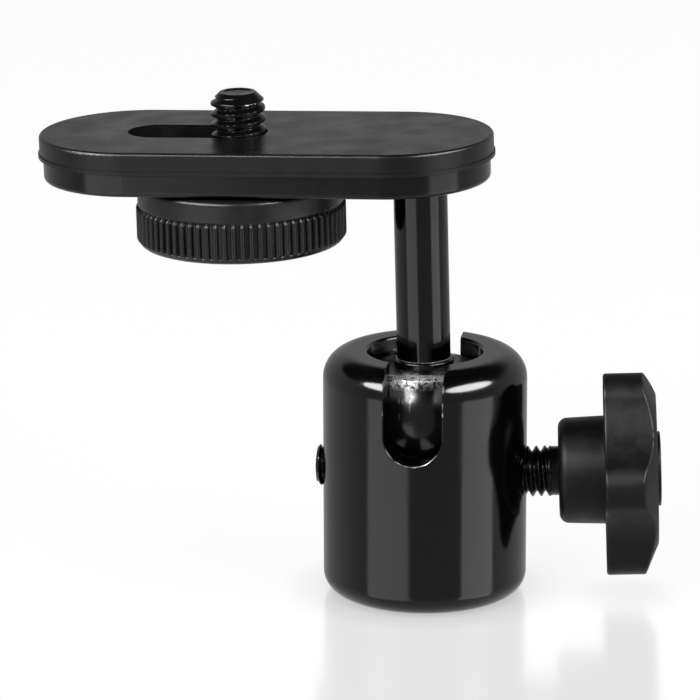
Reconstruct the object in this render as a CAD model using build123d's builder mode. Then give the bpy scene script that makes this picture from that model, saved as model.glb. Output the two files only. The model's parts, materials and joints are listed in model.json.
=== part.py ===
from build123d import *
from math import acos, cos, radians, sin, sqrt
import os

# Swivel bracket: a ball joint in a slotted round housing carries a padded,
# slotted plate with a sliding camera screw.  Millimetres, +Z up, origin at the
# centre of the housing's foot, clamp knob near +X and a little raised, swing slots along Y,
# rod and plate leaning slightly towards -X.

# ---- driving sizes ---------------------------------------------------------
running_fit = 0.05          # radial clearance of every turning or sliding fit

housing_d = 24.0            # outside diameter of the housing
housing_h = 29.25
rim_round = 3.2             # rounding of the upper outer edge
foot_round = 2.4
opening_d = 13.5            # mouth the rod comes out of
swing_slot_w = 6.9          # slots the rod drops into when tilted

ball_d = 16.5
ball_centre_z = 21.9
ball_flat_h = 5.5           # height of the ball's flat above its centre
rod_lean = 1.3              # lean of the ball and rod at rest, sideways towards -X

rod_d = 6.3
shoulder_d = 7.0
shoulder_h = 1.0
tenon_d = 4.9
tenon_len = 9.0

bush_d = 18.6               # pressed-in bush with the 5/8"-27 stand thread
bush_h = 9.5
stand_minor_d = 14.86
bush_chamfer = 0.4

cup_travel = 0.4            # free drop of the pressure cup above the bush
cup_top_z = 17.4

clamp_z = 14.08             # height of the clamp axis where it meets the housing's axis
clamp_turn = 5.8            # turn of the clamp axis from +X towards +Y
clamp_rise = 1.9            # rise of the clamp axis outwards
clamp_thread_d = 6.0
clamp_head_af = 7.0
clamp_head_len = 4.2
tip_point_x = 5.8           # small end of the pressure tip's cone
tip_point_d = 1.6
tip_base_x = 7.9            # large end of the cone
tip_stem_d = 2.4
tip_stem_len = 2.4

hub_x = 15.8                # inner face of the knob's hub
hub_len = 5.4
hub_d = 12.4
star_len = 6.2
star_d = 24.9
star_lobes = 5
star_first_lobe = 13.9      # turn of the first lobe from straight up, about the clamp axis
scallop_r = 0.4317 * star_d
scallop_soften = 0.1165 * star_d        # rounding between a lobe and a scallop
scallop_centre_r = 0.8193 * star_d
star_bevel_len = 1.6
star_face_d = 17.6
cap_d = 8.8
cap_proud = 0.5
cap_seat = 1.0

guide_thread_d = 5.0        # set screw that keeps the cup from turning
guide_z = 14.75
guide_proud = 0.75
guide_dog_d = 2.4
guide_dog_x = 7.0

pad_len = 53.4
pad_w = 23.4
pad_t = 2.6
pad_end_x = 8.65            # pad's end on the knob side
pad_lip = 0.15
plate_inset = 0.42
plate_t = 2.75
plate_round = 0.5
pad_top_z = 55.28

slide_slot_len = 16.5
slide_slot_w = 6.8
slide_slot_end_x = -17.8    # slot end nearer the rod

camera_thread_d = 6.35      # 1/4"-20
camera_stickout = 4.8
camera_end_chamfer = 1.05
camera_neck_d = 5.2         # undercut between the shank and the free thread
camera_head_af = 11.1
camera_head_h = 3.9
camera_head_sunk = 0.8

wheel_gap = 0.27            # gap between the wheel and the plate
wheel_h = 7.45
wheel_collar_d = 24.2
wheel_collar_h = 2.6
wheel_knurl_d = 24.6
wheel_lip_h = 0.4
wheel_grooves = 72
wheel_groove_r = 0.42

washer_d = 13.0
washer_t = 0.5

plate_screw_d = 4.0
plate_screw_head_d = 7.5
plate_screw_len = 9.5

# ---- sizes that follow -----------------------------------------------------
ball_r = ball_d / 2
seat_r = ball_r + running_fit
housing_r = housing_d / 2
cup_bottom_z = bush_h + cup_travel
ball_flat_z = ball_centre_z + ball_flat_h
plate_top_z = pad_top_z - pad_t
plate_bottom_z = plate_top_z - plate_t
pad_centre_x = pad_end_x - pad_len / 2
slide_slot_x = slide_slot_end_x - slide_slot_len / 2
camera_x = slide_slot_end_x - slide_slot_w / 2
camera_top_z = pad_top_z + camera_stickout
wheel_top_z = plate_bottom_z - wheel_gap
wheel_bottom_z = wheel_top_z - wheel_h
washer_top_z = plate_bottom_z - running_fit
washer_bottom_z = washer_top_z - washer_t
washer_recess_z = washer_bottom_z - running_fit
camera_head_z = wheel_bottom_z + camera_head_sunk
camera_seat_z = camera_head_z + camera_head_h
star_x = hub_x + hub_len
star_face_x = star_x + star_len
cap_seat_x = star_face_x - cap_seat
clamp_head_x = cap_seat_x - clamp_head_len

os.makedirs("parts", exist_ok=True)

camera_axis = Plane(origin=(camera_x, 0, 0), x_dir=(1, 0, 0), z_dir=(0, 0, 1))
clamp_axis = Plane(origin=(0, 0, clamp_z), x_dir=(0, 0, 1), z_dir=(1, 0, 0))
clamp_place = Pos(0, 0, clamp_z) * Rot(0, 0, clamp_turn) * Rot(0, -clamp_rise, 0) * Pos(0, 0, -clamp_z)
clamp_flat = cos(radians(clamp_rise))
clamp_x = clamp_flat * cos(radians(clamp_turn))
clamp_y = clamp_flat * sin(radians(clamp_turn))
clamp_dir = (clamp_x, clamp_y, sin(radians(clamp_rise)))
clamp_bore = Plane(origin=(0, 0, clamp_z), z_dir=clamp_dir)
clamp_side = Plane(origin=(0, 0, clamp_z), x_dir=clamp_dir, z_dir=(clamp_y, -clamp_x, 0))
arm_place = Pos(0, 0, ball_centre_z) * Rot(0, -rod_lean, 0) * Pos(0, 0, -ball_centre_z)
guide_axis = Plane(origin=(0, 0, guide_z), x_dir=(0, 0, 1), z_dir=(-1, 0, 0))


def save(solid, name):
    """Name a finished piece and write it to its own file."""
    solid.label = name
    export_step(solid, "parts/" + name + ".step")


def thread_envelope(major_d, start, length, end_chamfer):
    """Shank along +Z at its thread's outside diameter, free end chamfered."""
    with BuildPart() as shank:
        with BuildSketch(Plane.XY.offset(start)):
            Circle(major_d / 2)
        extrude(amount=length)
        chamfer(shank.edges().sort_by(Axis.Z)[-1], length=end_chamfer)
    return shank.part


# ---- housing ---------------------------------------------------------------
with BuildPart() as housing:
    with BuildSketch(Plane.XY):
        Circle(housing_r)
    extrude(amount=housing_h)
    fillet(housing.edges().sort_by(Axis.Z)[-1], radius=rim_round)
    fillet(housing.edges().sort_by(Axis.Z)[0], radius=foot_round)
    # spherical seat over the ball, straight bore below it, mouth above it
    with BuildSketch(Plane.XZ) as cavity:
        with BuildLine():
            mouth_z = ball_centre_z + sqrt(seat_r**2 - (opening_d / 2) ** 2)
            side = Line((seat_r, 0), (seat_r, ball_centre_z))
            bow = acos(opening_d / 2 / seat_r)
            seat_mid = (seat_r * cos(bow / 2), ball_centre_z + seat_r * sin(bow / 2))
            seat = ThreePointArc(side @ 1, seat_mid, (opening_d / 2, mouth_z))
            throat = Line(seat @ 1, (opening_d / 2, housing_h))
            top = Line(throat @ 1, (0, housing_h))
            middle = Line(top @ 1, (0, 0))
            Line(middle @ 1, side @ 0)
        make_face()
    revolve(axis=Axis.Z, mode=Mode.SUBTRACT)
    # seat for the stand bush
    with BuildSketch(Plane.XY):
        Circle(bush_d / 2)
    extrude(amount=bush_h, mode=Mode.SUBTRACT)
    # swing slots, front and back, with round bottoms level with the ball
    with BuildSketch(Plane.XZ):
        with Locations((0, ball_centre_z)):
            Circle(swing_slot_w / 2)
        with Locations((0, ball_centre_z + housing_h / 2)):
            Rectangle(swing_slot_w, housing_h)
    extrude(amount=housing_d, both=True, mode=Mode.SUBTRACT)
    # tapped holes for the clamp screw and the guide screw
    with BuildSketch(clamp_bore):
        Circle(clamp_thread_d / 2 + running_fit)
    extrude(amount=housing_d, mode=Mode.SUBTRACT)
    with BuildSketch(guide_axis):
        Circle(guide_thread_d / 2)
    extrude(amount=housing_d, mode=Mode.SUBTRACT)
    mouth_edges = housing.edges().group_by(Axis.Z)[-1].filter_by(GeomType.CIRCLE).sort_by(SortBy.RADIUS)[0:2]
    chamfer(mouth_edges, length=0.25)
save(housing.part, "housing")

# ---- bush with the stand thread ---------------------------------------------
with BuildPart() as threaded_bush:
    with BuildSketch(Plane.XY):
        Circle(bush_d / 2)
        Circle(stand_minor_d / 2, mode=Mode.SUBTRACT)
    extrude(amount=bush_h)
    bore_mouth = threaded_bush.edges().filter_by(GeomType.CIRCLE).sort_by(SortBy.RADIUS)[0:2]
    chamfer(bore_mouth, length=bush_chamfer)
save(threaded_bush.part, "threaded_bush")

# ---- pressure cup under the ball ---------------------------------------------
with BuildPart() as pressure_cup:
    with BuildSketch(Plane.XY.offset(cup_bottom_z)):
        Circle(ball_r)
    extrude(amount=cup_top_z - cup_bottom_z)
    with Locations((0, 0, ball_centre_z)):
        Sphere(seat_r, mode=Mode.SUBTRACT)
    # conical side recess the pressure tip wedges into
    with BuildSketch(clamp_side):
        with BuildLine():
            mouth_run = tip_base_x - tip_point_x + 1.0
            deep_x = tip_point_x - running_fit
            deep_r = tip_point_d / 2 + running_fit
            floor_line = Line((deep_x, 0), (deep_x, deep_r))
            flank = Line(floor_line @ 1, (deep_x + mouth_run, deep_r + mouth_run))
            out = Line(flank @ 1, (deep_x + mouth_run, 0))
            Line(out @ 1, floor_line @ 0)
        make_face()
    revolve(axis=Axis((0, 0, clamp_z), clamp_dir), mode=Mode.SUBTRACT)
    # guide groove for the set screw's point
    with BuildSketch(Plane.XY.offset(cup_bottom_z)):
        with Locations((-ball_r, 0)):
            Rectangle(2 * (ball_r - guide_dog_x + 0.25), guide_dog_d + 2 * running_fit)
    extrude(amount=guide_z - cup_bottom_z + guide_dog_d / 2 + 0.8, mode=Mode.SUBTRACT)
save(pressure_cup.part, "pressure_cup")

# ---- guide screw: set screw with a dog point and a hexagon socket -------------
with BuildPart() as guide_screw:
    guide_end = housing_r + guide_proud
    guide_root = seat_r + 0.1
    with BuildSketch(guide_axis.offset(guide_root)):
        Circle(guide_thread_d / 2)
    extrude(amount=guide_end - guide_root)
    chamfer(guide_screw.edges().sort_by(Axis.X)[0], length=0.35)
    with BuildSketch(guide_axis.offset(guide_dog_x)):
        Circle(guide_dog_d / 2)
    extrude(amount=guide_root - guide_dog_x)
    with BuildSketch(guide_axis.offset(guide_end)):
        RegularPolygon(radius=2.5 / sqrt(3), side_count=6)
    extrude(amount=-2.0, mode=Mode.SUBTRACT)
save(guide_screw.part, "guide_screw")

# ---- ball ----------------------------------------------------------------------
with BuildPart() as ball:
    with Locations((0, 0, ball_centre_z)):
        Sphere(ball_r)
    with BuildSketch(Plane.XY.offset(ball_flat_z)):
        Circle(ball_d)
    extrude(amount=ball_r, mode=Mode.SUBTRACT)
    flat_edge = ball.edges().filter_by(GeomType.CIRCLE).sort_by(Axis.Z)[-1]
    chamfer(flat_edge, length=0.25)
    with BuildSketch(Plane.XY.offset(ball_flat_z)):
        Circle(tenon_d / 2 + running_fit)
    extrude(amount=-(tenon_len + 0.3), mode=Mode.SUBTRACT)
save(arm_place * ball.part, "ball")

# ---- rod -----------------------------------------------------------------------
with BuildPart() as rod:
    shoulder_z = ball_flat_z + running_fit
    with BuildSketch(Plane.XY.offset(shoulder_z)):
        Circle(shoulder_d / 2)
    extrude(amount=shoulder_h)
    chamfer(rod.edges().sort_by(Axis.Z)[-1], length=0.2)
    with BuildSketch(Plane.XY.offset(shoulder_z)):
        Circle(rod_d / 2)
    extrude(amount=plate_bottom_z - shoulder_z)
    with BuildSketch(Plane.XY.offset(shoulder_z)):
        Circle(tenon_d / 2)
    extrude(amount=-tenon_len)
    chamfer(rod.edges().sort_by(Axis.Z)[0], length=0.5)
    with BuildSketch(Plane.XY.offset(plate_bottom_z)):
        Circle(plate_screw_d / 2)
    extrude(amount=-plate_screw_len, mode=Mode.SUBTRACT)
save(arm_place * rod.part, "rod")

# ---- plate ----------------------------------------------------------------------
with BuildPart() as plate:
    with BuildSketch(Plane.XY.offset(plate_bottom_z)):
        with Locations((pad_centre_x, 0)):
            SlotOverall(pad_len - 2 * plate_inset, pad_w - 2 * plate_inset)
    extrude(amount=plate_t)
    fillet(plate.edges().group_by(Axis.Z)[0], radius=plate_round)
    with BuildSketch(Plane.XY.offset(plate_bottom_z)):
        with Locations((slide_slot_x, 0)):
            SlotOverall(slide_slot_len, slide_slot_w)
    extrude(amount=plate_t, mode=Mode.SUBTRACT)
    with Locations((0, 0, plate_top_z)):
        CounterSinkHole(
            radius=plate_screw_d / 2,
            counter_sink_radius=plate_screw_head_d / 2,
            counter_sink_angle=90,
        )
save(arm_place * plate.part, "plate")

# ---- screw that holds the plate on the rod, hidden under the pad -----------------
with BuildPart() as plate_screw:
    with BuildSketch(Plane.XZ):
        with BuildLine():
            head_drop = (plate_screw_head_d - plate_screw_d) / 2
            tail_z = plate_bottom_z - plate_screw_len + 0.5
            face = Line((0, plate_top_z), (plate_screw_head_d / 2, plate_top_z))
            cone = Line(face @ 1, (plate_screw_d / 2, plate_top_z - head_drop))
            shank_side = Line(cone @ 1, (plate_screw_d / 2, tail_z))
            tail = Line(shank_side @ 1, (0, tail_z))
            Line(tail @ 1, face @ 0)
        make_face()
    revolve(axis=Axis.Z)
    with BuildSketch(Plane.XY.offset(plate_top_z)):
        RegularPolygon(radius=2.5 / sqrt(3), side_count=6)
    extrude(amount=-1.6, mode=Mode.SUBTRACT)
save(arm_place * plate_screw.part, "plate_screw")

# ---- rubber pad ------------------------------------------------------------------
with BuildPart() as pad:
    with BuildSketch(Plane.XY.offset(plate_top_z)):
        with Locations((pad_centre_x, 0)):
            SlotOverall(pad_len, pad_w)
    extrude(amount=pad_t)
    fillet(pad.edges().group_by(Axis.Z)[-1], radius=0.4)
    with BuildSketch(Plane.XY.offset(plate_top_z)):
        with Locations((pad_centre_x, 0)):
            SlotOverall(pad_len + 2 * pad_lip, pad_w + 2 * pad_lip)
    extrude(amount=0.45)
    with BuildSketch(Plane.XY.offset(plate_top_z)):
        with Locations((slide_slot_x, 0)):
            SlotOverall(slide_slot_len, slide_slot_w)
    extrude(amount=pad_t, mode=Mode.SUBTRACT)
save(arm_place * pad.part, "pad")

# ---- slide washer between the wheel and the plate ---------------------------------
with BuildPart() as slide_washer:
    with BuildSketch(camera_axis.offset(washer_bottom_z)):
        Circle(washer_d / 2)
        Circle(camera_thread_d / 2 + running_fit, mode=Mode.SUBTRACT)
    extrude(amount=washer_t)
save(arm_place * slide_washer.part, "slide_washer")

# ---- thumbwheel --------------------------------------------------------------------
with BuildPart() as thumbwheel:
    with BuildSketch(camera_axis.offset(wheel_bottom_z)):
        Circle(wheel_collar_d / 2)
    extrude(amount=wheel_h)
    fillet(thumbwheel.edges().group_by(Axis.Z)[-1], radius=0.5)
    fillet(thumbwheel.edges().group_by(Axis.Z)[0], radius=0.35)
    with BuildSketch(camera_axis.offset(wheel_bottom_z + wheel_lip_h)):
        Circle(wheel_knurl_d / 2)
        with PolarLocations(wheel_knurl_d / 2, wheel_grooves):
            Circle(wheel_groove_r, mode=Mode.SUBTRACT)
    extrude(amount=wheel_h - wheel_lip_h - wheel_collar_h)
    with BuildSketch(camera_axis.offset(wheel_bottom_z + wheel_lip_h)):
        Circle(wheel_knurl_d)
        Circle(wheel_knurl_d / 2, mode=Mode.SUBTRACT)
        with PolarLocations(wheel_knurl_d / 2, wheel_grooves):
            Circle(wheel_groove_r)
    extrude(amount=wheel_h - wheel_lip_h - wheel_collar_h, mode=Mode.SUBTRACT)
    with BuildSketch(camera_axis.offset(wheel_top_z)):
        Circle(washer_d / 2 + running_fit)
    extrude(amount=washer_recess_z - wheel_top_z, mode=Mode.SUBTRACT)
    with BuildSketch(camera_axis.offset(wheel_bottom_z)):
        Circle(camera_thread_d / 2)
    extrude(amount=wheel_h, mode=Mode.SUBTRACT)
    with BuildSketch(camera_axis.offset(wheel_bottom_z)):
        RegularPolygon(radius=camera_head_af / sqrt(3), side_count=6)
    extrude(amount=camera_seat_z - wheel_bottom_z, mode=Mode.SUBTRACT)
save(arm_place * thumbwheel.part, "thumbwheel")

# ---- camera screw --------------------------------------------------------------------
camera_shank_len = plate_bottom_z + 0.5 - camera_seat_z
camera_thread_z = pad_top_z
camera_thread = thread_envelope(
    camera_thread_d, camera_thread_z, camera_top_z - camera_thread_z, camera_end_chamfer
)
with BuildPart() as camera_screw:
    with BuildSketch(Plane.XY.offset(camera_head_z)):
        RegularPolygon(radius=camera_head_af / sqrt(3), side_count=6)
    extrude(amount=camera_head_h)
    with BuildSketch(Plane.XY.offset(camera_seat_z)):
        Circle(camera_thread_d / 2)
    extrude(amount=camera_shank_len)
    with BuildSketch(Plane.XY.offset(camera_seat_z)):
        Circle(camera_neck_d / 2)
    extrude(amount=camera_thread_z - camera_seat_z)
    add(camera_thread)
    # shallow dimple in the screw's end
    with Locations((0, 0, camera_top_z + 2.0)):
        Sphere(2.25, mode=Mode.SUBTRACT)
save(arm_place * Pos(camera_x, 0, 0) * camera_screw.part, "camera_screw")

# ---- clamp screw ------------------------------------------------------------------------
clamp_plain_x = hub_x - 1.0
clamp_thread = thread_envelope(clamp_thread_d, -clamp_plain_x, clamp_plain_x - tip_base_x - running_fit, 0.5)
with BuildPart() as clamp_screw:
    add(clamp_thread)
    with BuildSketch(Plane.XY.offset(-clamp_plain_x)):
        Circle(clamp_thread_d / 2 - 0.1)
    extrude(amount=clamp_plain_x - clamp_head_x)
    with BuildSketch(Plane.XY.offset(-clamp_head_x)):
        RegularPolygon(radius=clamp_head_af / sqrt(3), side_count=6)
    extrude(amount=-clamp_head_len)
    # blind bore for the pressure tip's stem
    with BuildSketch(Plane.XY.offset(-tip_base_x)):
        Circle(tip_stem_d / 2 + running_fit)
    extrude(amount=-(tip_stem_len + 0.2), mode=Mode.SUBTRACT)
clamp_placed = clamp_place * Pos(0, 0, clamp_z) * Rot(0, -90, 0) * clamp_screw.part
save(clamp_placed, "clamp_screw")

# ---- pressure tip ------------------------------------------------------------------------
with BuildPart() as pressure_tip:
    with BuildSketch(Plane.XZ):
        with BuildLine():
            tip_base_r = tip_point_d / 2 + tip_base_x - tip_point_x
            stem_end_x = tip_base_x + tip_stem_len
            nose = Line((tip_point_x, clamp_z), (tip_point_x, clamp_z + tip_point_d / 2))
            tip_cone = Line(nose @ 1, (tip_base_x, clamp_z + tip_base_r))
            step = Line(tip_cone @ 1, (tip_base_x, clamp_z + tip_stem_d / 2))
            stem = Line(step @ 1, (stem_end_x, clamp_z + tip_stem_d / 2))
            stem_face = Line(stem @ 1, (stem_end_x, clamp_z))
            Line(stem_face @ 1, nose @ 0)
        make_face()
    revolve(axis=Axis((0, 0, clamp_z), (1, 0, 0)))
save(clamp_place * pressure_tip.part, "pressure_tip")

# ---- star knob ----------------------------------------------------------------------------
with BuildPart() as star_knob:
    with BuildSketch(clamp_axis.offset(star_x)) as star_outline:
        Circle(star_d / 2)
        with PolarLocations(scallop_centre_r, star_lobes, start_angle=star_first_lobe + 180 / star_lobes):
            Circle(scallop_r, mode=Mode.SUBTRACT)
        fillet(star_outline.vertices(), radius=scallop_soften)
    extrude(amount=star_len)
    # bevel around the outer face
    with BuildSketch(Plane.XZ):
        with BuildLine():
            bevel_r = star_d / 2 + 0.5
            bevel_slope = (star_d - star_face_d) / 2 / star_bevel_len
            low_x = star_face_x - star_bevel_len - 0.5 / bevel_slope
            low = (low_x, clamp_z + bevel_r)
            bevel = Line((star_face_x, clamp_z + star_face_d / 2), low)
            above = Line(bevel @ 1, (star_face_x, clamp_z + bevel_r))
            Line(above @ 1, bevel @ 0)
        make_face()
    revolve(axis=Axis((0, 0, clamp_z), (1, 0, 0)), mode=Mode.SUBTRACT)
    with BuildSketch(clamp_axis.offset(hub_x)):
        Circle(hub_d / 2)
    extrude(amount=hub_len, taper=-2)
    hub_edge = star_knob.edges().sort_by(Axis.X)[0]
    fillet(hub_edge, radius=1.1)
    with BuildSketch(clamp_axis.offset(hub_x)):
        Circle(clamp_thread_d / 2 - 0.1)
    extrude(amount=hub_len + star_len, mode=Mode.SUBTRACT)
    with BuildSketch(clamp_axis.offset(clamp_head_x)):
        RegularPolygon(radius=clamp_head_af / sqrt(3), side_count=6)
    extrude(amount=clamp_head_len, mode=Mode.SUBTRACT)
    with BuildSketch(clamp_axis.offset(cap_seat_x)):
        Circle(cap_d / 2)
    extrude(amount=cap_seat, mode=Mode.SUBTRACT)
save(clamp_place * star_knob.part, "star_knob")

# ---- knob cap --------------------------------------------------------------------------------
with BuildPart() as knob_cap:
    with BuildSketch(clamp_axis.offset(cap_seat_x)):
        Circle(cap_d / 2)
    extrude(amount=cap_seat + cap_proud)
    chamfer(knob_cap.edges().sort_by(Axis.X)[-1], length=0.2)
save(clamp_place * knob_cap.part, "knob_cap")
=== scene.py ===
"""Swivel bracket: finishes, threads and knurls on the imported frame, and a pale studio."""
import json
import math

import bpy
import numpy as np
from bpy.props import FloatProperty, FloatVectorProperty, IntProperty, PointerProperty
from mathutils import Matrix, Vector


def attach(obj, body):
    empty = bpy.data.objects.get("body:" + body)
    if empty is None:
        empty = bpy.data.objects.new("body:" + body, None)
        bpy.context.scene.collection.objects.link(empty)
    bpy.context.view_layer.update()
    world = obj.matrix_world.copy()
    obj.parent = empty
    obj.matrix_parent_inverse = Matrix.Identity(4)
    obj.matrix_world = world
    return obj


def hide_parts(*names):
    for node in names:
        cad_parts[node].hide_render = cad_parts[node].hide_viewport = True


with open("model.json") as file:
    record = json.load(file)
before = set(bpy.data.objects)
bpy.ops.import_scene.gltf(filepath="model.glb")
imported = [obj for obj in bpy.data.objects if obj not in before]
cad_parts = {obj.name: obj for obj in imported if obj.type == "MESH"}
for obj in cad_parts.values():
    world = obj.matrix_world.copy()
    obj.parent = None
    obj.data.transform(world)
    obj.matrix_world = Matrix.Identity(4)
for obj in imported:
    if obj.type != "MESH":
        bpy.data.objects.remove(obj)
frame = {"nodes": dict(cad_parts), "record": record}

bl_info = {
    "name": "Swivel Bracket",
    "version": (1, 0, 0),
    "blender": (4, 5, 0),
    "location": "View3D > Sidebar > Bracket",
    "description": "Adds threads, knurls and finishes to the swivel bracket and sets a studio around it",
    "category": "Object",
}

# one millimetre in metres; lengths below are millimetres until they meet MM
MM = 0.001

JOINTS = {joint["name"]: joint for joint in frame["record"]["behaviour"]["joints"]}
BALL_CENTRE = np.array(JOINTS["swivel"]["pos_m"], float) / MM
ARM_UP = np.array(JOINTS["swivel"]["axis"], float)
ARM_UP = ARM_UP / np.linalg.norm(ARM_UP)
ARM_ALONG = np.cross((0.0, 1.0, 0.0), ARM_UP)
ARM_FOOT = BALL_CENTRE - ARM_UP * BALL_CENTRE[2]
CLAMP_OUT = np.array(JOINTS["clamp_turn"]["axis"], float)
CLAMP_OUT = CLAMP_OUT / np.linalg.norm(CLAMP_OUT)


def reach(node, origin, direction):
    """Lowest and highest place of a frame node along a direction, in millimetres from the origin."""
    mesh = frame["nodes"][node].data
    flat = np.empty(len(mesh.vertices) * 3, np.float32)
    mesh.vertices.foreach_get("co", flat)
    along = (flat.reshape(-1, 3) / MM - np.asarray(origin)) @ np.asarray(direction)
    return float(along.min()), float(along.max())


CLAMP_FOOT = np.array(JOINTS["clamp_turn"]["pos_m"], float) / MM
CLAMP_FOOT = CLAMP_FOOT - CLAMP_OUT * math.hypot(*CLAMP_FOOT[:2]) / math.hypot(*CLAMP_OUT[:2])
SCREW_X = sum(reach("thumbwheel", ARM_FOOT, ARM_ALONG)) / 2
SCREW_FOOT = ARM_FOOT + ARM_ALONG * SCREW_X
BALL_Z = float(BALL_CENTRE[2])
PAD_TOP = reach("pad", ARM_FOOT, ARM_UP)[1]


# ---- settings --------------------------------------------------------------

class BracketSizes(bpy.types.PropertyGroup):
    """Sizes of the details that the frame leaves plain."""
    camera_pitch: FloatProperty(
        name="Camera thread pitch", description="Rise of the camera thread per turn, in millimetres",
        default=1.27, min=0.5, max=2.0)
    clamp_pitch: FloatProperty(
        name="Clamp thread pitch", description="Rise of the clamp thread per turn, in millimetres",
        default=1.0, min=0.5, max=2.0)
    guide_pitch: FloatProperty(
        name="Guide thread pitch", description="Rise of the guide screw's thread per turn, in millimetres",
        default=0.8, min=0.4, max=1.5)
    stand_pitch: FloatProperty(
        name="Stand thread pitch", description="Rise of the stand thread per turn, in millimetres",
        default=0.9407, min=0.5, max=2.0)
    wheel_ridges: IntProperty(
        name="Wheel ridges", description="Number of ridges around the thumbwheel",
        default=72, min=12, max=120)
    ridge_depth: FloatProperty(
        name="Ridge depth", description="Depth of the grooves between the wheel's ridges, in millimetres",
        default=0.5, min=0.1, max=1.0)
    star_lobes: IntProperty(
        name="Knob lobes", description="Number of lobes of the clamp knob",
        default=5, min=3, max=8)
    edge_round: FloatProperty(
        name="Moulded edge", description="Rounding of the moulded plastic's edges, in millimetres",
        default=0.35, min=0.05, max=1.0)


class BracketFinish(bpy.types.PropertyGroup):
    """Colours and amounts of the finishes."""
    enamel: FloatVectorProperty(
        name="Enamel", description="Colour of the gloss enamel",
        subtype="COLOR", size=3, default=(0.0004, 0.0004, 0.00042), min=0, max=1)
    rubber: FloatVectorProperty(
        name="Rubber", description="Colour of the pad",
        subtype="COLOR", size=3, default=(0.0015, 0.0015, 0.00155), min=0, max=1)
    plastic: FloatVectorProperty(
        name="Plastic", description="Colour of the moulded plastic",
        subtype="COLOR", size=3, default=(0.0011, 0.0011, 0.00114), min=0, max=1)
    oxide: FloatVectorProperty(
        name="Black oxide", description="Colour of the blackened steel",
        subtype="COLOR", size=3, default=(0.016, 0.016, 0.0165), min=0, max=1)
    bare: FloatVectorProperty(
        name="Bare steel", description="Colour of worn, bare steel",
        subtype="COLOR", size=3, default=(0.56, 0.56, 0.55), min=0, max=1)
    brass: FloatVectorProperty(
        name="Brass", description="Colour of the brass pieces",
        subtype="COLOR", size=3, default=(0.62, 0.45, 0.19), min=0, max=1)
    wear: FloatProperty(
        name="Wear", description="Amount of rubbing and scratching",
        subtype="FACTOR", default=1.0, min=0, max=2)


class StudioSettings(bpy.types.PropertyGroup):
    """The camera's place and the light."""
    turn: FloatProperty(
        name="Camera turn", description="Turn of the camera round the object",
        subtype="ANGLE", default=math.radians(8.31))
    height: FloatProperty(
        name="Camera height", description="Angle of the camera above the horizon",
        subtype="ANGLE", default=math.radians(15.576))
    distance: FloatProperty(
        name="Camera distance", description="Distance of the camera from its target",
        subtype="DISTANCE", unit="LENGTH", default=0.55488)
    roll: FloatProperty(
        name="Camera roll", description="Lean of the camera",
        subtype="ANGLE", default=math.radians(0.151))
    target: FloatVectorProperty(
        name="Target", description="Point the camera looks at, before the turn",
        subtype="TRANSLATION", unit="LENGTH", size=3, default=(-0.008817, 0.0, 0.02923))
    lens: FloatProperty(
        name="Lens", description="Focal length in millimetres on a 36 mm sensor",
        default=243.26, min=50, max=400)
    softbox: FloatProperty(
        name="Softboxes", description="Radiance of the two raised softboxes",
        default=15.0, min=0, max=60)


# ---- surfaces ---------------------------------------------------------------

def smooth_step(low, high, x):
    """0 below low, 1 above high, and a cubic ease in between."""
    t = np.clip((x - low) / (high - low), 0.0, 1.0)
    return t * t * (3.0 - 2.0 * t)


def smooth_least(a, b, blend):
    """The lesser of a and b, with the corner between them rounded over the blend."""
    share = np.clip(0.5 + 0.5 * (b - a) / blend, 0.0, 1.0)
    return b * (1 - share) + a * share - blend * share * (1 - share)


def rounded_path(corners, radii, steps=6):
    """Polyline through the corners with each corner cut back by its radius and joined by a circular blend."""
    corners = np.asarray(corners, float)
    pieces = [corners[:1]]
    for index in range(1, len(corners) - 1):
        before, at, after = corners[index - 1], corners[index], corners[index + 1]
        into = (before - at) / np.linalg.norm(before - at)
        out = (after - at) / np.linalg.norm(after - at)
        radius = radii[index]
        if radius <= 0:
            pieces.append(at[None])
            continue
        half = math.acos(np.clip(into @ out, -1, 1)) / 2
        bisector = (into + out) / np.linalg.norm(into + out)
        centre = at + bisector * radius / math.sin(half)
        first = at + into * radius / math.tan(half) - centre
        last = at + out * radius / math.tan(half) - centre
        blend = np.linspace(0, 1, steps + 1)[:, None]
        angle = math.acos(np.clip(first @ last / radius**2, -1, 1))
        arc = (np.sin((1 - blend) * angle) * first + np.sin(blend * angle) * last) / math.sin(angle)
        pieces.append(centre + arc)
    pieces.append(corners[-1:])
    return np.concatenate(pieces)


def refine(path, step):
    """The same polyline with extra points, so that no stretch is longer than step."""
    path = np.asarray(path, float)
    parts = [path[:1]]
    for a, b in zip(path[:-1], path[1:]):
        count = max(1, int(math.ceil(np.linalg.norm(b - a) / step)))
        parts.append(a + (b - a) * np.linspace(0, 1, count + 1)[1:, None])
    return np.concatenate(parts)


def axis_frame(direction):
    """Three unit vectors, the last along direction, that keep a right-hand screw right-handed."""
    direction = Vector(direction).normalized()
    side = Vector((0, 1, 0)) if abs(direction.y) < 0.5 else Vector((1, 0, 0))
    side = (side - direction * side.dot(direction)).normalized()
    third = direction.cross(side).normalized()
    return np.array([tuple(side), tuple(third), tuple(direction)])


def spread(path, columns):
    """A path of radius and height carried once round: a grid of each, and the row of turns."""
    turn = np.linspace(0, 2 * math.pi, columns, endpoint=False)[None, :]
    return np.repeat(path[:, :1], columns, axis=1), np.repeat(path[:, 1:], columns, axis=1), turn


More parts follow.
